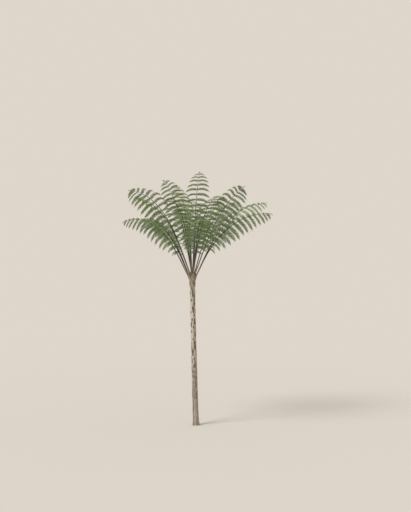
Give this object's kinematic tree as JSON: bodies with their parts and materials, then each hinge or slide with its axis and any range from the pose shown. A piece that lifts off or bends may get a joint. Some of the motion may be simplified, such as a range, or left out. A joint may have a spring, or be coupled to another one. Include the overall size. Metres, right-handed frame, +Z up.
{
  "type": "tree fern",
  "caption": "Slender tree fern: a slightly leaning trunk on a flared foot, topped by a funnel-shaped crown of long arching fronds that droop at their tips.",
  "frame": {"origin": "centre of the flat cut through the trunk at ground level", "axes": "+Z up; the reference view looks along +Y with +X to its right, and the trunk leans towards -X"},
  "size_m": [3.5615, 3.7613, 5.9901],
  "materials": {
    "trunk": "matt, fibrous, with leaf scars",
    "frond": "satin leaf"
  },
  "bodies": {
    "root": {"trunk": "trunk", "frond_low_1_lower": "frond", "frond_low_1_upper": "frond", "frond_low_2_lower": "frond", "frond_low_2_upper": "frond", "frond_low_3_lower": "frond", "frond_low_3_upper": "frond", "frond_low_4_lower": "frond", "frond_low_4_upper": "frond", "frond_low_5_lower": "frond", "frond_low_5_upper": "frond", "frond_low_6_lower": "frond", "frond_low_6_upper": "frond", "frond_low_7_lower": "frond", "frond_low_7_upper": "frond", "frond_mid_1_lower": "frond", "frond_mid_1_upper": "frond", "frond_mid_2_lower": "frond", "frond_mid_2_upper": "frond", "frond_mid_3_lower": "frond", "frond_mid_3_upper": "frond", "frond_mid_4_lower": "frond", "frond_mid_4_upper": "frond", "frond_mid_5_lower": "frond", "frond_mid_5_upper": "frond", "frond_mid_6_lower": "frond", "frond_mid_6_upper": "frond", "frond_mid_7_lower": "frond", "frond_mid_7_upper": "frond", "frond_top_1": "frond", "frond_top_2": "frond", "frond_top_3": "frond", "frond_top_4": "frond"}
  },
  "joints": []
}
